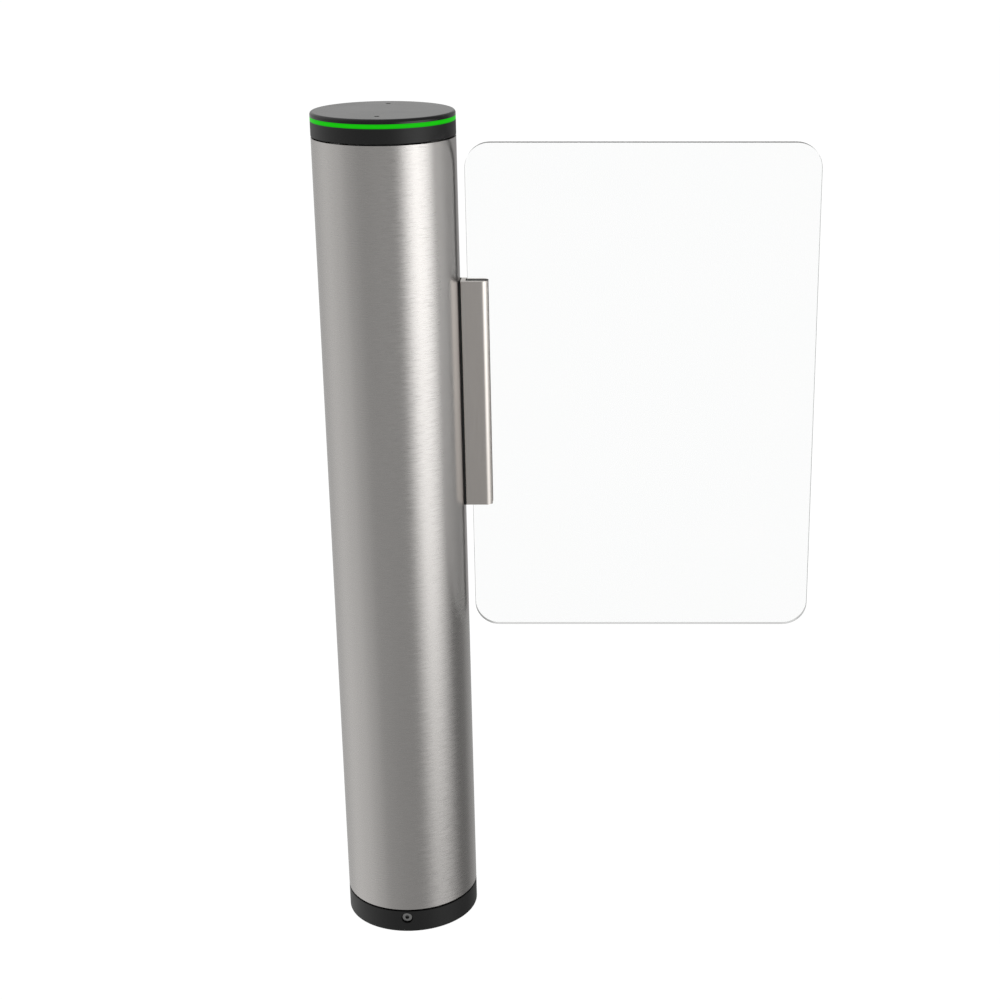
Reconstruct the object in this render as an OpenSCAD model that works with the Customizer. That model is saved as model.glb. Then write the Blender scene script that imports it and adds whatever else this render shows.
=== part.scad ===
// Pedestrian swing gate: a round post whose steel drum turns on a fixed inner column,
// between a black base ring and a black cap with a lit ring, and carries a clear leaf in a clamp.
// The post's axis is +Z, the floor is z = 0, and the closed leaf points along +X.

/* [Post] */
// Outside diameter of the drum, base ring and cap
post_d = 168.3; // [150:0.1:200]
// Wall of the drum tube
drum_wall = 2; // [1.5:0.1:4]
// Length of the drum tube
drum_len = 979.2; // [800:0.5:1200]
// Open seam between the base ring and the drum
seam_low = 2.8; // [1:0.1:5]
// Open seam between the drum and the collar
seam_top = 1.5; // [1:0.1:5]

/* [Base] */
// Height of the base ring's outer wall
base_h = 28.5; // [28:0.1:45]
// Wall of the base ring
base_wall = 8.15; // [7:0.05:10]
// Thickness of the floor flange
flange_t = 26; // [24:0.5:27.5]
// Bolt circle of the floor anchors
anchor_pcd = 120; // [114:1:126]
// Diameter of each anchor hole
anchor_d = 13; // [9:0.5:14]
// Number of floor anchors
anchor_count = 4; // [3:1:6]
// Diameter of the cable entry in the flange
cable_d = 22; // [12:1:28]
// Distance of the cable entry from the post's axis
cable_offset = 22; // [16:1:24]

/* [Cap] */
// Height of the collar's outer wall
collar_h = 17.5; // [14:0.5:30]
// Wall of the collar and the light ring
cap_wall = 6.15; // [4:0.05:8]
// Thickness of the collar's floor
collar_floor = 5; // [3:0.5:8]
// Height of the light ring
light_h = 5; // [3:0.5:10]
// Thickness of the lid
lid_t = 5.5; // [5:0.1:10]
// Radius of the lid's rounded edge
lid_edge_r = 3.3; // [1:0.1:4.5]
// Depth of the ring under the lid that centres it
lid_spigot_h = 3; // [2:0.5:4]
// Wall of the ring under the lid
lid_spigot_wall = 3; // [2:0.1:5]
// Distance of each lid screw from the post's axis
lid_screw_offset = 57; // [50:1:62]
// Wall of the collar's boss around each lid screw
lid_boss_wall = 3.5; // [2:0.1:5]
// Chamfer on the outer edges of the base ring and collar beside the seams
seam_edge = 0.5; // [0.2:0.1:1]

/* [Column and bearings] */
// Outside diameter of the inner column, and bore of the bearings
column_d = 90; // [80:1:94]
// Wall of the inner column
column_wall = 4; // [3:0.5:6]
// Outside diameter of each bearing
bearing_d = 115; // [108:1:125]
// Width of each bearing
bearing_w = 13; // [10:1:20]
// Height of the seat rings under the bearings and the collar
seat_ring_h = 6; // [3:0.5:8]
// Wall of each hub's boss around its bearing
hub_boss_wall = 6.5; // [4:0.5:8]
// Thickness of each hub's web
hub_web_t = 8; // [5:0.5:12]
// Wall of each hub's rim against the drum
hub_rim_wall = 4; // [3:0.5:6]
// Thickness of each hub's lip over its bearing
hub_lip_t = 5; // [3:0.5:8]
// Overhang of each hub below its bearing
hub_foot = 2; // [1:0.5:4]
// Height of the base ring's lip inside the drum, which closes the lower seam
lip_h = 8; // [5:0.5:12]
// Wall of the base ring's lip
lip_wall = 5.5; // [3:0.5:7]

/* [Leaf] */
// Width of the clear panel
panel_w = 418; // [300:1:600]
// Height of the clear panel
panel_h = 605; // [400:1:800]
// Thickness of the clear panel
panel_t = 10; // [8:0.5:12]
// Corner radius of the clear panel
panel_corner_r = 30; // [15:1:80]
// Chamfer along the panel's polished edges
panel_arris = 0.1; // [0.1:0.1:2]
// Distance of the panel's upper edge below the drum's top
panel_drop = 7.5; // [3:0.1:60]

/* [Clamp] */
// Height of the clamp
clamp_h = 280; // [240:1:380]
// Depth of panel held in the clamp
glass_bite = 25.7; // [22:0.1:40]
// Thickness of the clamp's cheeks
cheek_t = 6; // [4.5:0.1:10]
// Thickness of the clamp's spine between the drum and the panel
spine_t = 5.8; // [5:0.1:12]
// Radius of the clamp's outer vertical edges
nose_r = 10; // [2:0.1:10.5]
// Radius of the clamp's vertical edges beside the drum
heel_r = 1.5; // [0.5:0.1:3]
// Chamfer along the clamp's upper and lower edges
clamp_chamfer = 0.5; // [0.3:0.1:1.5]
// Thickness of the rubber liner on each side of the panel
liner_t = 1; // [0.8:0.1:3]
// Thickness of the rubber liner behind the panel's edge
liner_back = 2; // [1:0.1:4]
// Set-back of the liner's end behind the clamp's outer edge
liner_recess = 1.5; // [0.5:0.1:3]
// Thickness of the saddle strip at its thinnest
seat_t = 1; // [0.6:0.1:3]
// Thickness of the backing strip inside the drum
backing_t = 5; // [4:0.5:8]
// Distance of the backing strip's ends from the clamp's ends
backing_short = 15; // [0:1:30]
// Distance of the outer bolts and cover screws from the clamp's ends
clamp_screw_end = 45; // [25:1:70]

/* [Fasteners] */
// Head diameter of each base screw
base_head_d = 13; // [10:0.1:13]
// Head height of each base screw
base_head_h = 3; // [2.5:0.1:3.5]
// Shank diameter of each base screw
base_shank_d = 8; // [5:0.5:8]
// Shank length of each base screw
base_shank_l = 14; // [10:1:18]
// Key size of each base screw
base_key = 5; // [3:0.5:6]
// Height of the base screws above the floor
base_screw_z = 18.8; // [15:0.1:20.5]
// Set-back of the base screw's head behind the ring's surface
base_head_sink = 3; // [1:0.1:3.2]
// Diameter of the counterbore for each base screw's head
base_bore_d = 14.6; // [13.8:0.1:15]
// Head diameter of each lid screw
lid_head_d = 6; // [4:0.1:7]
// Shank diameter of each lid screw
lid_shank_d = 3; // [2:0.1:3]
// Set-back of the lid screw's head below the lid's top
lid_head_sink = 0.5; // [0.2:0.1:1]
// Length of each lid screw
lid_screw_l = 15; // [12:0.5:18]
// Key size of each lid screw
lid_key = 2; // [1.5:0.1:2.5]
// Shank diameter of the clamp's bolts and cover screws
clamp_shank_d = 6; // [4:0.5:6]
// Head diameter of each clamp bolt
clamp_head_d = 10; // [8:0.5:11]
// Head height of each clamp bolt
clamp_head_h = 6; // [3:0.5:7]
// Head diameter of each cover screw
cover_head_d = 12; // [10:0.5:13]
// Flat left between each cover screw's head and the clamp's rounded edge
cover_head_edge = 0.5; // [0.2:0.1:2]
// Key size of the clamp's bolts and cover screws
clamp_key = 4; // [2.5:0.5:4]
// Chamfer on the rim of each round screw head
head_edge = 0.5; // [0.2:0.1:1]
// Share of a round screw head's height that is left under its key socket
socket_floor = 0.25; // [0.2:0.05:0.5]
// Space left beyond the tip of a base screw or lid screw
tip_room = 1; // [0.5:0.1:2]
// Diameter of each screw hole in the panel
panel_hole_d = 11; // [9:0.5:14]

/* [Fits] */
// Radial gap of parts that are pushed or welded together
fit_gap = 0.05; // [0.02:0.01:0.1]
// Radial running gap between each bearing and its hub
run_gap = 0.05; // [0.02:0.01:0.1]
// Gap between each bearing and the hub's lip over it
axial_gap = 0.3; // [0.2:0.05:0.6]
// Space that moving parts keep from fixed ones inside the drum
move_clear = 5.5; // [5:0.1:8]
// Radial clearance of a screw in its plain hole
hole_gap = 0.3; // [0.2:0.05:0.5]
// Gap between the base ring and the flange inside it
ring_gap = 0.2; // [0.1:0.05:0.4]
// Metal left under a blind screw hole
blind_skin = 0.8; // [0.5:0.1:1.5]

/* [Hidden] */
$fn = 96;
// Fineness of arcs in thin pieces that follow the drum's curve
fine_fn = 720;

// Radii of the post, from the outside in
post_r = post_d / 2;
drum_ri = post_r - drum_wall;
base_ri = post_r - base_wall;
flange_r = base_ri - ring_gap;
cap_ri = post_r - cap_wall;
lip_ro = drum_ri - move_clear;
lip_ri = lip_ro - lip_wall;
column_r = column_d / 2;
column_ri = column_r - column_wall;
bearing_r = bearing_d / 2;
seat_ring_r = (column_r + bearing_r) / 2;
hub_ro = drum_ri - fit_gap;
hub_bore_r = bearing_r + run_gap;
hub_boss_r = hub_bore_r + hub_boss_wall;

// Levels of the post, from the floor up
drum_z0 = base_h + seam_low;
drum_z1 = drum_z0 + drum_len;
collar_z0 = drum_z1 + seam_top;
light_z0 = collar_z0 + collar_h;
lid_z0 = light_z0 + light_h;
lid_z1 = lid_z0 + lid_t;
hub_h = hub_foot + bearing_w + axial_gap + hub_lip_t;
hub_low_z0 = base_h + lip_h + move_clear;
hub_top_z0 = collar_z0 - seat_ring_h - move_clear - hub_h;
bearing_low_z0 = hub_low_z0 + hub_foot;
bearing_top_z0 = hub_top_z0 + hub_foot;

// Places of the clamp and panel along X, from the drum outwards
clamp_x0 = post_r + seat_t;
spine_x1 = clamp_x0 + spine_t;
panel_x0 = spine_x1 + liner_back;
clamp_x1 = panel_x0 + glass_bite;
backing_x0 = drum_ri - backing_t;
cover_screw_x = min((panel_x0 + clamp_x1) / 2, clamp_x1 - nose_r - cover_head_edge - cover_head_d / 2);

// Half thicknesses of the clamp and panel along Y
panel_half = panel_t / 2;
slot_half = panel_half + liner_t;
clamp_half = slot_half + cheek_t;

// Heights of the clamp and its screws, which hang from the drum's top with the panel
clamp_zc = drum_z1 - panel_drop - panel_h / 2;
clamp_z0 = clamp_zc - clamp_h / 2;
clamp_pitch = clamp_h / 2 - clamp_screw_end;
backing_h = clamp_h - 2 * backing_short;
screw_rows = [-1, 0, 1];

// Screws
base_head_r = base_head_d / 2;
base_shank_r = base_shank_d / 2;
base_seat_r = post_r - base_head_sink - base_head_h;
lid_shank_r = lid_shank_d / 2;
lid_boss_r = lid_shank_r + lid_boss_wall;
clamp_shank_r = clamp_shank_d / 2;
clamp_hole_r = clamp_shank_r + hole_gap;
spine_thread = spine_t - blind_skin;
cheek_thread = cheek_t - blind_skin;

// Allowances of cutting tools beyond the faces that they cut
cut = 1;
front_back = [0, 180];

// Height of one row of clamp screws
function row_z(row) = clamp_zc + row * clamp_pitch;

// A socket screw with a round head: its seat is at z = 0, its head above and its shank below
module cap_screw(head_r, head_h, shank_r, shank_l, key) {
    difference() {
        union() {
            cylinder(h = head_h - head_edge, r = head_r);
            translate([0, 0, head_h - head_edge])
                cylinder(h = head_edge, r1 = head_r, r2 = head_r - head_edge);
            translate([0, 0, -shank_l]) cylinder(h = shank_l + head_h / 2, r = shank_r);
        }
        translate([0, 0, head_h * socket_floor]) key_socket(key, head_h);
    }
}

// A countersunk socket screw with the flat of its head at z = 0
module countersunk_screw(head_r, shank_r, length, key) {
    cone_h = head_r - shank_r;
    difference() {
        union() {
            translate([0, 0, -cone_h]) cylinder(h = cone_h, r1 = shank_r, r2 = head_r);
            translate([0, 0, -length]) cylinder(h = length - cone_h / 2, r = shank_r);
        }
        translate([0, 0, -cone_h * 0.6]) key_socket(key, cone_h);
    }
}

// The hexagon of a key, cut upwards from z = 0
module key_socket(key, depth) {
    cylinder(h = depth, r = key / 2 / cos(30), $fn = 6);
}

// The hole for a countersunk screw whose head is flush with z = 0
module countersunk_hole(head_r, shank_r, depth) {
    cone_h = head_r - shank_r;
    translate([0, 0, -cone_h]) cylinder(h = cone_h, r1 = shank_r, r2 = head_r);
    translate([0, 0, -depth]) cylinder(h = depth, r = shank_r);
}

// Puts a screw on the radial axis of the base screws, its seat in the ring's counterbore
module on_base_axis(angle) {
    rotate([0, 0, angle])
        translate([0, -base_seat_r, base_screw_z])
            rotate([90, 0, 0]) children();
}

// Puts a screw upright on one of the lid's two screw places, at the lid's top
module on_lid_axis(angle) {
    rotate([0, 0, angle]) translate([0, -lid_screw_offset, lid_z1]) children();
}

// Puts a screw along +X at one row, with its seat on the backing strip
module on_bolt_axis(row) {
    translate([backing_x0, 0, row_z(row)]) rotate([0, -90, 0]) children();
}

// Puts a screw along Y at one row, with its head in the back of the clamp's cover
module on_cover_axis(row) {
    translate([cover_screw_x, clamp_half, row_z(row)]) rotate([-90, 0, 0]) children();
}

// Steel disc on the floor, with anchor holes, a cable entry and threads for the base screws
module floor_flange() {
    thread_depth = base_shank_l - (base_seat_r - flange_r) + tip_room;
    color("dimgray") difference() {
        cylinder(h = flange_t, r = flange_r);
        for (i = [0 : anchor_count - 1])
            rotate([0, 0, 45 + i * 360 / anchor_count])
                translate([anchor_pcd / 2, 0, -cut])
                    cylinder(h = flange_t + 2 * cut, r = anchor_d / 2);
        translate([0, cable_offset, -cut]) cylinder(h = flange_t + 2 * cut, r = cable_d / 2);
        for (a = front_back)
            rotate([0, 0, a])
                translate([0, -flange_r + thread_depth, base_screw_z])
                    rotate([90, 0, 0])
                        cylinder(h = thread_depth + cut, r = base_shank_r + fit_gap);
    }
}

// Black ring around the flange: it sits on the flange and its lip closes the seam from inside
module base_ring() {
    color("#262626") difference() {
        rotate_extrude() polygon([
            [base_ri, 0], [post_r, 0], [post_r, base_h - seam_edge], [post_r - seam_edge, base_h],
            [lip_ro, base_h], [lip_ro, base_h + lip_h], [lip_ri, base_h + lip_h],
            [lip_ri, flange_t], [base_ri, flange_t]
        ]);
        for (a = front_back) on_base_axis(a) {
            cylinder(h = base_head_h + base_head_sink + cut, r = base_bore_d / 2);
            translate([0, 0, -base_wall]) cylinder(h = base_wall + cut, r = base_shank_r + hole_gap);
        }
    }
}

// Low-head screw that holds the base ring to the flange
module base_screw(angle) {
    color("gray") on_base_axis(angle)
        cap_screw(base_head_r, base_head_h, base_shank_r, base_shank_l, base_key);
}

// Fixed tube inside the drum, from the flange up through the collar's floor
module column() {
    column_h = collar_z0 + collar_floor - flange_t;
    color("slategray") ring_on_column(flange_t, column_h, column_ri, column_r);
}

// Ring welded round the column, which the bearing or collar over it sits on
module seat_ring(seat_z) {
    color("slategray")
        ring_on_column(seat_z - seat_ring_h, seat_ring_h, column_r + fit_gap, seat_ring_r);
}

// Bearing pushed onto the column, down to its seat ring
module bearing(z0) {
    color("silver") ring_on_column(z0, bearing_w, column_r + fit_gap, bearing_r);
}

// A plain ring about the post's axis
module ring_on_column(z0, height, inner_r, outer_r) {
    translate([0, 0, z0]) difference() {
        cylinder(h = height, r = outer_r);
        translate([0, 0, -cut]) cylinder(h = height + 2 * cut, r = inner_r);
    }
}

// Black cup around the column's end, on its seat ring, with a boss under each lid screw
module collar() {
    bore_r = column_r + fit_gap;
    floor_z1 = collar_z0 + collar_floor;
    pilot_depth = lid_screw_l + lid_head_sink - lid_t + tip_room;
    color("#2a2a2a") difference() {
        union() {
            rotate_extrude() polygon([
                [bore_r, collar_z0], [post_r - seam_edge, collar_z0],
                [post_r, collar_z0 + seam_edge], [post_r, light_z0], [cap_ri, light_z0],
                [cap_ri, floor_z1], [bore_r, floor_z1]
            ]);
            for (a = front_back) on_lid_axis(a)
                translate([0, 0, floor_z1 - cut - lid_z1])
                    cylinder(h = lid_z0 - floor_z1 + cut, r = lid_boss_r);
        }
        for (a = front_back) on_lid_axis(a)
            translate([0, 0, -lid_t - pilot_depth])
                cylinder(h = pilot_depth + cut, r = lid_shank_r + fit_gap);
    }
}

// Clear-green ring between the collar and the lid
module light_ring() {
    color("limegreen") translate([0, 0, light_z0]) difference() {
        cylinder(h = light_h, r = post_r);
        translate([0, 0, -cut]) cylinder(h = light_h + 2 * cut, r = cap_ri);
    }
}

// Black disc with a rounded edge and a ring underneath that centres it in the light ring
module lid() {
    spigot_ro = cap_ri - ring_gap;
    hole_r = lid_head_d / 2 + fit_gap;
    color("#303030") difference() {
        translate([0, 0, lid_z0]) rotate_extrude() {
            square([post_r, lid_t - lid_edge_r]);
            square([post_r - lid_edge_r, lid_t]);
            translate([post_r - lid_edge_r, lid_t - lid_edge_r]) intersection() {
                circle(lid_edge_r);
                square(lid_edge_r);
            }
            translate([spigot_ro - lid_spigot_wall, -lid_spigot_h])
                square([lid_spigot_wall, lid_spigot_h + cut]);
        }
        for (a = front_back) on_lid_axis(a) translate([0, 0, -lid_head_sink]) {
            countersunk_hole(hole_r, lid_shank_r + fit_gap, lid_t + cut);
            cylinder(h = lid_head_sink + cut, r = hole_r);
        }
    }
}

// Small countersunk screw in the lid
module lid_screw(angle) {
    color("#1c1c1c") on_lid_axis(angle) translate([0, 0, -lid_head_sink])
        countersunk_screw(lid_head_d / 2, lid_shank_r, lid_screw_l, lid_key);
}

// Brushed steel tube that turns with the leaf
module drum_tube() {
    color("lightgray") difference() {
        translate([0, 0, drum_z0]) difference() {
            cylinder(h = drum_len, r = post_r);
            translate([0, 0, -cut]) cylinder(h = drum_len + 2 * cut, r = drum_ri);
        }
        for (row = screw_rows) bolt_hole(row, post_r + cut);
    }
}

// Plain hole for one clamp bolt, from inside the drum out to the given distance
module bolt_hole(row, reach) {
    on_bolt_axis(row)
        translate([0, 0, backing_x0 - reach])
            cylinder(h = reach - backing_x0 + cut, r = clamp_hole_r);
}

// Turned hub in the drum: a boss around the bearing with a lip over it, a web and a rim
module hub(z0) {
    rim_ri = hub_ro - hub_rim_wall;
    web_z0 = hub_foot + (bearing_w - hub_web_t) / 2;
    rim_h = hub_foot + bearing_w;
    color("gainsboro") translate([0, 0, z0]) rotate_extrude() polygon([
        [hub_bore_r, 0], [hub_boss_r, 0], [hub_boss_r, web_z0], [rim_ri, web_z0],
        [rim_ri, 0], [hub_ro, 0], [hub_ro, rim_h], [rim_ri, rim_h],
        [rim_ri, web_z0 + hub_web_t], [hub_boss_r, web_z0 + hub_web_t], [hub_boss_r, hub_h],
        [seat_ring_r, hub_h], [seat_ring_r, hub_h - hub_lip_t], [hub_bore_r, hub_h - hub_lip_t]
    ]);
}

// Outline of the closed clamp seen from above, with rounded outer edges and small heels
module clamp_outline() {
    mid_w = clamp_x1 - clamp_x0 - nose_r - heel_r;
    translate([clamp_x0 + heel_r, -clamp_half]) square([mid_w, 2 * clamp_half]);
    translate([clamp_x0, -clamp_half + heel_r])
        square([2 * heel_r, 2 * (clamp_half - heel_r)]);
    translate([clamp_x1 - 2 * nose_r, -clamp_half + nose_r])
        square([2 * nose_r, 2 * (clamp_half - nose_r)]);
    for (s = [-1, 1]) {
        translate([clamp_x0 + heel_r, s * (clamp_half - heel_r)]) circle(heel_r);
        translate([clamp_x1 - nose_r, s * (clamp_half - nose_r)]) circle(nose_r);
    }
}

// Keeps what lies inside the clamp's side outline, which has a chamfer on its four long edges
module chamfer_ends() {
    c = clamp_chamfer;
    intersection() {
        translate([0, 0, clamp_z0]) linear_extrude(clamp_h) children();
        translate([clamp_x0 - cut, 0, clamp_zc])
            rotate([90, 0, 90])
                linear_extrude(clamp_x1 - clamp_x0 + 2 * cut)
                    polygon([
                        [-clamp_half, -clamp_h / 2 + c], [-clamp_half + c, -clamp_h / 2],
                        [clamp_half - c, -clamp_h / 2], [clamp_half, -clamp_h / 2 + c],
                        [clamp_half, clamp_h / 2 - c], [clamp_half - c, clamp_h / 2],
                        [-clamp_half + c, clamp_h / 2], [-clamp_half, clamp_h / 2 - c]
                    ]);
    }
}

// Rubber saddle strip: flat against the clamp and round against the drum
module clamp_seat() {
    seat_half = clamp_half - clamp_chamfer / 2;
    color("#141414") difference() {
        translate([0, 0, clamp_z0]) linear_extrude(clamp_h) difference() {
            translate([0, -seat_half]) square([clamp_x0, 2 * seat_half]);
            circle(post_r + fit_gap, $fn = fine_fn);
        }
        for (row = screw_rows) bolt_hole(row, clamp_x0 + cut);
    }
}

// Front cheek and spine of the clamp in one piece, with blind threads for bolts and screws
module clamp_body() {
    color("silver") difference() {
        chamfer_ends() difference() {
            clamp_outline();
            translate([spine_x1, -slot_half])
                square([clamp_x1 - spine_x1 + cut, slot_half + clamp_half + cut]);
            translate([clamp_x0 - cut, slot_half])
                square([clamp_x1 - clamp_x0 + 2 * cut, cheek_t + cut]);
        }
        for (row = screw_rows) {
            translate([clamp_x0 - cut, 0, row_z(row)]) rotate([0, 90, 0])
                cylinder(h = spine_thread + cut, r = clamp_shank_r + fit_gap);
            translate([cover_screw_x, -slot_half + cut, row_z(row)]) rotate([90, 0, 0])
                cylinder(h = cheek_thread + cut, r = clamp_shank_r + fit_gap);
        }
    }
}

// Back cheek of the clamp, countersunk for the screws that pull it onto the panel
module clamp_cover() {
    color("silver") difference() {
        chamfer_ends() intersection() {
            clamp_outline();
            translate([clamp_x0 - cut, slot_half])
                square([clamp_x1 - clamp_x0 + 2 * cut, cheek_t + cut]);
        }
        for (row = screw_rows) on_cover_axis(row)
            countersunk_hole(cover_head_d / 2 + fit_gap, clamp_hole_r, cheek_t + cut);
    }
}

// Strip inside the drum that spreads the load of the clamp's bolts
module clamp_backing() {
    color("darkgray") difference() {
        translate([0, 0, clamp_zc - backing_h / 2]) linear_extrude(backing_h) intersection() {
            circle(drum_ri - fit_gap, $fn = fine_fn);
            translate([backing_x0, -clamp_half]) square([backing_t, 2 * clamp_half]);
        }
        for (row = screw_rows) bolt_hole(row, drum_ri + cut);
    }
}

// Bolt from inside the drum into the clamp's spine
module clamp_bolt(row) {
    shank_l = clamp_x0 + spine_thread - tip_room / 2 - backing_x0;
    color("gray") on_bolt_axis(row)
        cap_screw(clamp_head_d / 2, clamp_head_h, clamp_shank_r, shank_l, clamp_key);
}

// Screw through the cover and the panel into the clamp's front cheek
module cover_screw(row) {
    length = clamp_half + slot_half + cheek_thread - tip_room / 2;
    color("gray") on_cover_axis(row)
        countersunk_screw(cover_head_d / 2, clamp_shank_r, length, clamp_key);
}

// Rubber channel around the panel's edge in the clamp
module glass_liner() {
    liner_x1 = clamp_x1 - liner_recess;
    color("#181818") difference() {
        translate([0, 0, clamp_z0]) linear_extrude(clamp_h) difference() {
            translate([spine_x1, -slot_half]) square([liner_x1 - spine_x1, 2 * slot_half]);
            translate([panel_x0, -panel_half]) square([liner_x1 - panel_x0 + cut, panel_t]);
        }
        for (row = screw_rows) on_cover_axis(row)
            translate([0, 0, -2 * clamp_half]) cylinder(h = 2 * clamp_half, r = clamp_hole_r);
    }
}

// Clear leaf with round corners and flat polished edges, chamfered on both sides
module panel() {
    inset_w = panel_w - 2 * panel_arris;
    inset_h = panel_h - 2 * panel_arris;
    inset_r = panel_corner_r - panel_arris;
    color("aliceblue", 0.35) difference() {
        translate([panel_x0 + panel_w / 2, 0, clamp_zc]) rotate([90, 0, 0]) {
            translate([0, 0, -panel_half])
                linear_extrude(panel_t) rounded_rectangle(inset_w, inset_h, inset_r);
            for (turn = [0 : 3]) {
                along = turn % 2 == 0 ? inset_w : inset_h;
                across = turn % 2 == 0 ? inset_h : inset_w;
                rotate([0, 0, turn * 90]) panel_edge(along, across, inset_r);
            }
        }
        for (row = screw_rows) on_cover_axis(row)
            translate([0, 0, -2 * clamp_half]) cylinder(h = 2 * clamp_half, r = panel_hole_d / 2);
    }
}

// A rectangle with round corners, centred
module rounded_rectangle(w, h, r) {
    square([w - 2 * r, h], center = true);
    square([w, h - 2 * r], center = true);
    for (x = [-1, 1], y = [-1, 1]) translate([x * (w / 2 - r), y * (h / 2 - r)]) circle(r);
}

// The chamfered rim of one side of the panel, with the corner at its far end
module panel_edge(along, across, corner_r) {
    straight = along - 2 * corner_r;
    translate([-straight / 2, across / 2, 0]) rotate([90, 0, 90])
        linear_extrude(straight) rim_section();
    translate([straight / 2, across / 2 - corner_r, 0])
        rotate_extrude(angle = 90) translate([corner_r, 0]) rim_section();
}

// Section of the panel's rim, on the +X side
module rim_section() {
    edge_half = panel_half - panel_arris;
    polygon([[0, -panel_half], [panel_arris, -edge_half], [panel_arris, edge_half], [0, panel_half]]);
}

floor_flange();
base_ring();
base_screw(0);  // base_screw_front
base_screw(180);  // base_screw_back
column();
seat_ring(bearing_low_z0);  // lower_seat_ring
seat_ring(bearing_top_z0);  // upper_seat_ring
seat_ring(collar_z0);  // cap_seat_ring
bearing(bearing_low_z0);  // lower_bearing
bearing(bearing_top_z0);  // upper_bearing
collar();
light_ring();
lid();
lid_screw(0);  // lid_screw_front
lid_screw(180);  // lid_screw_back
drum_tube();
hub(hub_low_z0);  // drum_lower_hub
hub(hub_top_z0);  // drum_upper_hub
clamp_seat();
clamp_body();
clamp_cover();
clamp_backing();
clamp_bolt(-1);  // clamp_bolt_lower
clamp_bolt(0);  // clamp_bolt_middle
clamp_bolt(1);  // clamp_bolt_upper
cover_screw(-1);  // cover_screw_lower
cover_screw(0);  // cover_screw_middle
cover_screw(1);  // cover_screw_upper
glass_liner();
panel();
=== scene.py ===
"""Dresses the pedestrian swing gate and sets up its studio and camera.

The drum is brushed steel, the base and cap are black with a lit ring, the clamp is satin steel
and the leaf is clear. Lengths are in metres.
"""

import math

import bmesh
import bpy
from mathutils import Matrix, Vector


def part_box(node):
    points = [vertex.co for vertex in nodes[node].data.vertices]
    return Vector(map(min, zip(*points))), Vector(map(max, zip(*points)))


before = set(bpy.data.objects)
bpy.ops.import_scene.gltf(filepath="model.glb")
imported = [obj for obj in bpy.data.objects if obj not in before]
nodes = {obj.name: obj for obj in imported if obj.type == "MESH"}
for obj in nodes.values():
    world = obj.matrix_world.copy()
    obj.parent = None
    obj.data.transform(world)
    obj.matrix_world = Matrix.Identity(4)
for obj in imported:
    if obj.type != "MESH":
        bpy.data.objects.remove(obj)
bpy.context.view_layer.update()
scene = bpy.context.scene


class Graph:
    """A node tree with short calls for the nodes that these materials use."""

    def __init__(self, tree):
        self.tree = tree
        self.shader = None
        self.output = None
        tree.nodes.clear()

    def node(self, kind, inputs=None, **settings):
        made = self.tree.nodes.new(kind)
        for key, value in settings.items():
            setattr(made, key, value)
        for key, value in (inputs or {}).items():
            self.put(made.inputs[key], value)
        return made

    def put(self, socket, value):
        if isinstance(value, bpy.types.NodeSocket):
            self.tree.links.new(value, socket)
        else:
            socket.default_value = value

    def feed(self, **inputs):
        """Sets the Principled shader's inputs: base_color is its Base Color, and so on."""
        for key, value in inputs.items():
            name = key.replace("_", " ").title().replace("Ior", "IOR")
            self.put(self.shader.inputs[name], value)

    def math(self, operation, a, b=0.0, c=0.0, clamp=False):
        inputs = {0: a, 1: b, 2: c}
        return self.node("ShaderNodeMath", inputs, operation=operation, use_clamp=clamp).outputs[0]

    def vector(self, operation, a, b=(0, 0, 0), scale=None):
        made = self.node("ShaderNodeVectorMath", {0: a, 1: b}, operation=operation)
        if scale is not None:
            self.put(made.inputs["Scale"], scale)
        return made.outputs[0]

    def combine(self, **parts):
        return self.node("ShaderNodeCombineXYZ", parts).outputs[0]

    def span(self, value, low, high, to_low, to_high, smooth=False):
        inputs = {0: value, 1: low, 2: high, 3: to_low, 4: to_high}
        made = self.node("ShaderNodeMapRange", inputs)
        made.interpolation_type = "SMOOTHSTEP" if smooth else "LINEAR"
        return made.outputs[0]

    def spread(self, noise, to_low, to_high):
        """Stretches the range that a noise mostly stays in."""
        return self.span(noise, 0.3, 0.7, to_low, to_high)

    def place(self, scale):
        """Object coordinates, stretched."""
        coords = self.node("ShaderNodeTexCoord").outputs["Object"]
        return self.vector("MULTIPLY", coords, scale)

    def point(self):
        """The object coordinates X, Y and Z."""
        return self.node("ShaderNodeSeparateXYZ", {0: self.place((1, 1, 1))}).outputs

    def noise_at(self, vector, detail=2.0, rough=0.5):
        inputs = {"Vector": vector, "Scale": 1.0, "Detail": detail, "Roughness": rough}
        return self.node("ShaderNodeTexNoise", inputs).outputs["Fac"]

    def noise(self, scale, detail=2.0, rough=0.5):
        return self.noise_at(self.place(scale), detail, rough)

    def blend(self, factor, a, b, mode="MIX"):
        made = self.node("ShaderNodeMix", data_type="RGBA", blend_type=mode)
        for key, value in ((0, factor), (6, a), (7, b)):
            self.put(made.inputs[key], value)
        return made.outputs[2]

    def bump(self, height, strength, distance):
        inputs = {"Strength": strength, "Distance": distance, "Height": height}
        return self.node("ShaderNodeBump", inputs).outputs["Normal"]

    def tangent(self):
        """The direction around the post's axis."""
        made = self.node("ShaderNodeTangent", direction_type="RADIAL", axis="Z")
        return made.outputs[0]


def material(name, **inputs):
    """A new material with one Principled shader, whose inputs are set as named."""
    made = bpy.data.materials.new(name)
    made.use_nodes = True
    g = Graph(made.node_tree)
    g.shader = g.node("ShaderNodeBsdfPrincipled")
    g.output = g.node("ShaderNodeOutputMaterial", {"Surface": g.shader.outputs["BSDF"]})
    g.feed(**inputs)
    return made, g


def tint(colour, factor):
    return (*[c * factor for c in colour], 1.0)


def grey(level):
    return (level, level, level, 1)


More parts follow.
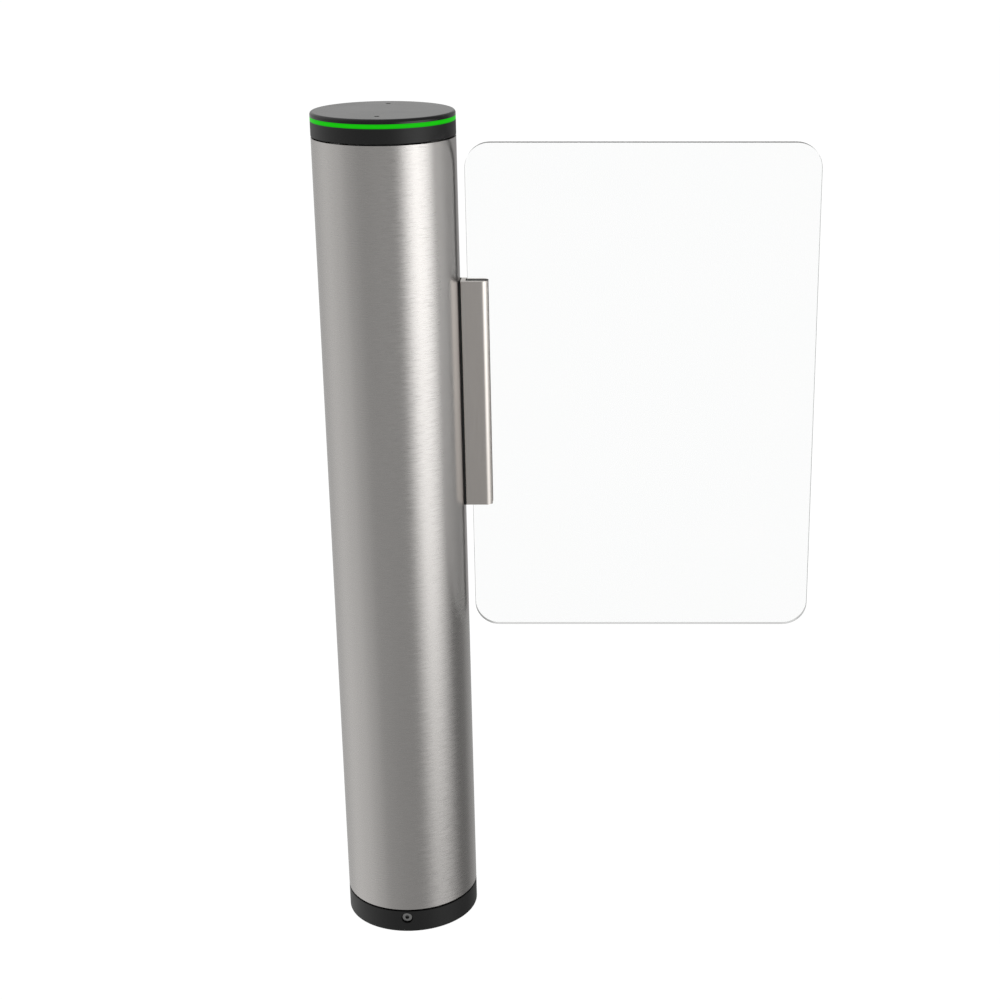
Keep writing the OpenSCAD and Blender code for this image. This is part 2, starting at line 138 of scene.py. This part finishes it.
def brushed_drum():
    """Stainless steel brushed around the tube.

    The streaks run along the circumference. They are calm beside the leaf, so that its reflection
    stays clean, and tip the surface more towards the tube's top.
    """
    steel = (0.603, 0.583, 0.570)
    calm_from, calm_to, calm_share, calm_fade = 0.052, 0.068, 0.98, 0.1
    tip_from, tip_to, tip_gain = 0.5, 0.95, 7
    side_tip, up_tip = 0.0155, 0.012
    contrast, rough_swing = 2.5, 0.03
    made, g = material(
        "drum_brushed", metallic=1.0, anisotropic=0.42, anisotropic_rotation=0.25
    )
    streak = g.noise((130, 130, 1050))
    fine = g.noise((70, 70, 1150))
    cloud = g.noise((7, 7, 5))

    point = g.point()
    leaf_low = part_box("panel")[0][2]
    upper = g.span(point["Z"], leaf_low, leaf_low + calm_fade, 0, 1, smooth=True)
    beside = g.span(point["X"], calm_from, calm_to, 0, calm_share, smooth=True)
    calm = g.math("SUBTRACT", 1.0, g.math("MULTIPLY", beside, upper))

    shade = g.math("MULTIPLY_ADD", fine, 0.6, g.math("MULTIPLY_ADD", streak, 0.4, -0.5))
    shade = g.math("MULTIPLY", shade, contrast)
    shade = g.math("MULTIPLY_ADD", shade, calm, 0.5, clamp=True)
    swing = g.math("MULTIPLY", g.spread(fine, -rough_swing, rough_swing), calm)
    rough = g.math("ADD", g.math("MULTIPLY_ADD", cloud, 0.04, 0.26), swing)

    normal = g.node("ShaderNodeNewGeometry").outputs["Normal"]
    around = g.vector("CROSS_PRODUCT", (0, 0, 1), normal)
    sideways = g.math("MULTIPLY", g.span(streak, 0.2, 0.8, -side_tip, side_tip), calm)
    sway = g.vector("SCALE", around, scale=sideways)
    gain = g.span(point["Z"], tip_from, tip_to, 1, tip_gain)
    upwards = g.math("MULTIPLY", g.span(fine, 0.25, 0.75, -up_tip, up_tip), gain)
    lift = g.combine(Z=g.math("MULTIPLY", upwards, calm))
    tipped = g.vector("NORMALIZE", g.vector("ADD", g.vector("ADD", normal, sway), lift))

    g.feed(
        base_color=g.blend(shade, tint(steel, 0.956), tint(steel, 1.032)),
        roughness=rough,
        normal=tipped,
        tangent=g.tangent(),
    )
    return made


def satin_steel(name, colour, scale, rough, depth, upright=0.0):
    """Steel with a fine directional grain; scale is large across the grain."""
    made, g = material(name, metallic=1.0, anisotropic=upright)
    if upright:
        g.feed(tangent=g.tangent())
    grain = g.noise(scale, 3.0, 0.6)
    cloud = g.noise((25, 25, 25))
    g.feed(
        base_color=g.blend(grain, tint(colour, 0.94), tint(colour, 1.04)),
        roughness=g.math("MULTIPLY_ADD", cloud, 0.05, g.spread(grain, *rough)),
        normal=g.bump(grain, 0.35, depth),
    )
    return made


def socket_screw():
    """Bright screw head, turned about its own axis, with painted shade in its key socket."""
    turning, socket_r, rim_skin = 5000.0, 0.00295, 0.0001
    made, g = material("screw_base", metallic=1.0)
    low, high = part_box("base_screw_front")
    point = g.point()
    rise = g.math("SUBTRACT", point["Z"], (low[2] + high[2]) / 2)
    across = g.math("MULTIPLY", point["X"], point["X"])
    radius = g.math("SQRT", g.math("MULTIPLY_ADD", rise, rise, across))
    ring = g.noise_at(g.combine(X=g.math("MULTIPLY", radius, turning)))
    in_socket_shade = g.math("LESS_THAN", radius, socket_r)
    deep = g.math("LESS_THAN", g.math("ABSOLUTE", point["Y"]), -low[1] - rim_skin)
    metal = g.blend(ring, grey(0.35), (0.44, 0.44, 0.43, 1))
    g.feed(
        # painted shade: the key socket's floor, below the head's face, is coloured dark grey where
        # shade falls in the recess
        base_color=g.blend(g.math("MULTIPLY", in_socket_shade, deep), metal, grey(0.10)),
        roughness=g.spread(ring, 0.24, 0.36),
        normal=g.bump(ring, 0.5, 0.00003),
    )
    return made


def black_finish(name, level, rough, grain, depth, strength=0.3):
    """Black coat or plastic with a fine skin and a little unevenness in its gloss."""
    uneven = 0.04
    made, g = material(name, specular_ior_level=0.4)
    skin = g.noise((grain, grain, grain), 3.0, 0.6)
    cloud = g.noise((18, 18, 18), 3.0)
    base = (level, level, level * 1.04)
    g.feed(
        base_color=g.blend(cloud, tint(base, 0.85), tint(base, 1.2)),
        roughness=g.spread(cloud, rough - uneven, rough + uneven),
        normal=g.bump(skin, strength, depth),
    )
    return made


def lit_ring():
    """Green diffuser, a little brighter along its middle than at its two edges."""
    bright_half, dim_half = 0.0008, 0.0026
    made, g = material(
        "lit_green", roughness=0.3, emission_strength=1.0, specular_ior_level=0.04
    )
    low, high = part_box("light_ring")
    middle = (low[2] + high[2]) / 2
    off = g.math("ABSOLUTE", g.math("SUBTRACT", g.point()["Z"], middle))
    edge = g.span(off, bright_half, dim_half, 0, 1, smooth=True)
    mottle = g.noise((120, 120, 300))
    glow = g.blend(edge, (0.006, 0.50, 0.002, 1), (0.004, 0.39, 0.001, 1))
    dim = g.blend(g.spread(mottle, 0, 1), grey(0.95), grey(1))
    g.feed(
        emission_color=g.blend(1.0, glow, dim, "MULTIPLY"),
        base_color=g.blend(mottle, (0.002, 0.04, 0.002, 1), (0.003, 0.06, 0.002, 1)),
    )
    return made


def turned(name, colour, rough, pitch):
    """Turned or ground metal: fine rings about the post's axis."""
    uneven = 0.06
    made, g = material(name, metallic=1.0)
    point = g.point()
    depth = g.math("POWER", point["Y"], 2.0)
    radius = g.math("SQRT", g.math("MULTIPLY_ADD", point["X"], point["X"], depth))
    out = g.math("MULTIPLY", radius, pitch)
    up = g.math("MULTIPLY", point["Z"], pitch)
    ring = g.noise_at(g.combine(X=out, Y=up), 3.0)
    g.feed(
        base_color=g.blend(ring, tint(colour, 0.9), tint(colour, 1.06)),
        roughness=g.spread(ring, rough - uneven, rough + uneven),
        normal=g.bump(ring, 0.4, 0.00003),
    )
    return made


def zinc_plate():
    """Zinc plating: pale, cloudy and a little spangled."""
    made, g = material("zinc_plated", metallic=1.0)
    spangle = g.place((260, 260, 260))
    cells = g.node("ShaderNodeTexVoronoi", {"Scale": 1.0, "Vector": spangle}).outputs["Distance"]
    cloud = g.noise((40, 40, 40), 4.0, 0.6)
    fleck = g.math("MULTIPLY_ADD", cells, 0.4, g.math("MULTIPLY", cloud, 0.6))
    g.feed(
        base_color=g.blend(fleck, (0.40, 0.41, 0.43, 1), (0.62, 0.63, 0.64, 1)),
        roughness=g.span(fleck, 0.2, 0.7, 0.32, 0.48),
        normal=g.bump(fleck, 0.2, 0.00005),
    )
    return made


def clear_leaf():
    """Clear sheet with polished edges, and faint wiping marks in its gloss."""
    made, g = material("leaf_clear", transmission_weight=1.0, ior=1.49)
    wipe = g.noise((9, 9, 14), 3.0, 0.55)
    g.feed(
        base_color=g.blend(wipe, (0.985, 0.992, 0.99, 1), (0.995, 0.998, 0.997, 1)),
        roughness=g.span(wipe, 0.45, 0.75, 0.0, 0.015),
    )
    return made


def dress(finish, *names):
    for name in names:
        for place in nodes[name].material_slots:
            place.material = finish


def named(start="", end=""):
    return [n for n in nodes if n.startswith(start) and n.endswith(end)]


def dress_all():
    clamp = satin_steel(
        "clamp_satin", (0.685, 0.645, 0.614), (700, 700, 30), (0.16, 0.22), 0.00002, upright=0.7
    )
    screw = satin_steel(
        "screw_bright", (0.56, 0.56, 0.56), (900, 900, 900), (0.2, 0.32), 0.00001
    )
    base = black_finish("base_coat", 0.005, 0.42, 1600, 0.00003)
    collar = black_finish("collar_plastic", 0.005, 0.4, 2200, 0.00002)
    lid = black_finish("lid_gloss", 0.004, 0.16, 300, 0.00001, 0.1)
    lid_screw = black_finish("screw_black", 0.012, 0.35, 3000, 0.00001)
    rubber = black_finish("rubber_matt", 0.010, 0.78, 1200, 0.00006, 0.5)
    bearing = turned("bearing_ground", (0.60, 0.60, 0.61), 0.2, 3000)
    hub = turned("hub_turned", (0.72, 0.72, 0.73), 0.3, 1800)

    dress(brushed_drum(), "drum_tube")
    dress(clamp, "clamp_body", "clamp_cover")
    dress(base, "base_ring")
    dress(collar, "collar")
    dress(lid, "lid")
    dress(lit_ring(), "light_ring")
    dress(lid_screw, "lid_screw_front", "lid_screw_back")
    dress(screw, *named("cover_screw"), *named("clamp_bolt"))
    dress(socket_screw(), "base_screw_front", "base_screw_back")
    dress(zinc_plate(), "floor_flange", "column", "clamp_backing", *named(end="seat_ring"))
    dress(bearing, "lower_bearing", "upper_bearing")
    dress(hub, "drum_lower_hub", "drum_upper_hub")
    dress(rubber, "clamp_seat", "glass_liner")
    dress(clear_leaf(), "panel")
    hide(nodes["panel"], "shadow", "diffuse")


def hide(thing, *rays):
    """Hides an object from some kinds of ray."""
    for ray in rays:
        setattr(thing, "visible_" + ray, False)


def lathe(name, profile, steps):
    """A surface of revolution about Z, open where the profile is open."""
    mesh = bpy.data.meshes.new(name)
    bm = bmesh.new()
    turn = [2 * math.pi * i / steps for i in range(steps)]
    rings = []
    for radius, height in profile:
        rings.append(
            [bm.verts.new((radius * math.cos(a), radius * math.sin(a), height)) for a in turn]
        )
    bm.faces.new(rings[0])
    for inner, outer in zip(rings, rings[1:]):
        for i in range(steps):
            j = (i + 1) % steps
            bm.faces.new((inner[i], outer[i], outer[j], inner[j]))
    for face in bm.faces:
        face.smooth = True
    bm.to_mesh(mesh)
    bm.free()
    made = bpy.data.objects.new(name, mesh)
    scene.collection.objects.link(made)
    return made


def studio_floor():
    """Pale floor that sweeps up into a backdrop and isn't mirrored in the part."""
    bend_from, bend_r, top, bend_steps = 9, 5, 12, 12
    bend = [math.pi / 2 * i / bend_steps for i in range(bend_steps + 1)]
    sweep = [(bend_from + bend_r * math.sin(a), bend_r - bend_r * math.cos(a)) for a in bend]
    profile = [(0.5, 0), (3, 0), *sweep, (bend_from + bend_r, top)]
    floor = lathe("studio_floor", profile, 96)

    finish, g = material(
        "studio_pale", roughness=0.9, specular_ior_level=0.0, emission_strength=1.0
    )
    mottle = g.noise((1.5, 1.5, 1.5))
    g.feed(base_color=g.blend(mottle, grey(0.03), grey(0.035)), emission_color=grey(1))
    bounces = g.node("ShaderNodeLightPath").outputs["Glossy Depth"]
    mirrored = g.math("GREATER_THAN", bounces, 0.5)
    unseen = g.node("ShaderNodeBsdfTransparent").outputs[0]
    inputs = {0: mirrored, 1: g.shader.outputs["BSDF"], 2: unseen}
    g.put(g.output.inputs["Surface"], g.node("ShaderNodeMixShader", inputs).outputs[0])
    finish.cycles.emission_sampling = "NONE"
    floor.data.materials.append(finish)
    hide(floor, "glossy", "shadow")


def top_light():
    """Soft light overhead, which shows neither to the camera nor in mirrors."""
    lamp = bpy.data.lights.new("top_soft", "AREA")
    lamp.shape, lamp.size, lamp.energy = "DISK", 4.0, 30.0
    top = bpy.data.objects.new("top_soft", lamp)
    top.location = (0.2, -0.2, 3.6)
    hide(top, "camera", "glossy", "transmission")
    scene.collection.objects.link(top)


# Brightness of the room's walls by azimuth in degrees, from the side of the camera to the right:
# above the horizon and a little below it, and further down
WALL_ABOVE = (
    (-180, 0.58), (-146, 0.51), (-102, 0.69), (-74, 0.59), (-52, 0.425), (-33, 0.355), (2, 0.40),
    (40, 0.37), (90, 0.28), (108, 0.225), (126, 0.25), (143, 0.37), (162, 0.33), (180, 0.58),
)
WALL_BELOW = (
    (-180, 0.58), (-146, 0.52), (-102, 0.73), (-74, 0.665), (-52, 0.535), (-33, 0.385), (2, 0.325),
    (40, 0.29), (90, 0.24), (108, 0.16), (126, 0.19), (143, 0.34), (162, 0.44), (180, 0.58),
)


def wall(g, share, stops):
    """The walls' brightness at a share of the full turn, eased between the stops."""
    made = g.node("ShaderNodeValToRGB", {0: share})
    made.color_ramp.interpolation = "EASE"
    marks = made.color_ramp.elements
    while len(marks) < len(stops):
        marks.new(0.5)
    for mark, (angle, level) in zip(marks, stops):
        mark.position = (angle + 180) / 360
        mark.color = grey(level)
    return made.outputs["Color"]


def soft_box(g, turn, rise):
    """A tall soft box to the right of the camera, narrower and dimmer towards its foot."""
    power = 1.86
    left_from, left_to, right_from, right_to = [math.radians(a) for a in (19, 54, 62, 105)]
    taper = g.span(rise, -0.5, -0.25, math.radians(5), 0)
    left = g.span(g.math("SUBTRACT", turn, taper), left_from, left_to, 0, 1, smooth=True)
    right = g.span(g.math("ADD", turn, taper), right_from, right_to, 1, 0, smooth=True)
    foot = g.span(rise, -0.548, -0.12, 0, 1.17)
    height = g.math("MULTIPLY", foot, g.span(rise, -0.06, 0.1, 1, 0, smooth=True))
    return g.math("MULTIPLY", g.math("MULTIPLY", left, right), g.math("MULTIPLY", height, power))


def studio_room():
    """Soft grey room with one soft box, dimmer after the first mirroring."""
    mirrored_twice, blue = 0.73, 0.99
    world = bpy.data.worlds.new("studio_room")
    world.use_nodes = True
    scene.world = world
    g = Graph(world.node_tree)
    towards = g.node("ShaderNodeTexCoord").outputs["Generated"]
    way = g.node("ShaderNodeSeparateXYZ", {0: towards}).outputs
    rise = way["Z"]
    turn = g.math("ARCTAN2", way["X"], g.math("MULTIPLY", way["Y"], -1.0))
    share = g.span(turn, -math.pi, math.pi, 0, 1)
    above = wall(g, share, WALL_ABOVE)
    below = wall(g, share, WALL_BELOW)
    room = g.blend(g.span(rise, -0.45, -0.2, 0, 1, smooth=True), below, above)
    room = g.vector("SCALE", room, scale=g.span(rise, 0.15, 0.22, 1, 1.2, smooth=True))
    level = g.math("ADD", room, soft_box(g, turn, rise))
    bounces = g.node("ShaderNodeLightPath").outputs["Glossy Depth"]
    level = g.math("MULTIPLY", level, g.span(bounces, 1, 2, 1, mirrored_twice))
    inputs = {0: level, 1: level, 2: g.math("MULTIPLY", level, blue)}
    tone = g.node("ShaderNodeCombineColor", inputs).outputs[0]
    back = g.node("ShaderNodeBackground", {"Color": tone, "Strength": 1.0})
    g.node("ShaderNodeOutputWorld", {"Surface": back.outputs[0]})


def photo_camera():
    """Camera at the photograph's place, found by fitting the post's edges and rings."""
    lens = bpy.data.cameras.new("photo_camera")
    lens.sensor_width, lens.lens = 36.0, 67.707
    lens.shift_x, lens.shift_y = -0.11156, 0.01143
    lens.clip_end = 100.0
    made = bpy.data.objects.new("photo_camera", lens)
    made.location = (0.264717, -2.205528, 1.324404)
    made.rotation_euler = (math.radians(70.597), 0, 0)
    scene.collection.objects.link(made)
    scene.camera = made


dress_all()
studio_floor()
top_light()
studio_room()
photo_camera()
scene.view_settings.view_transform = "Standard"
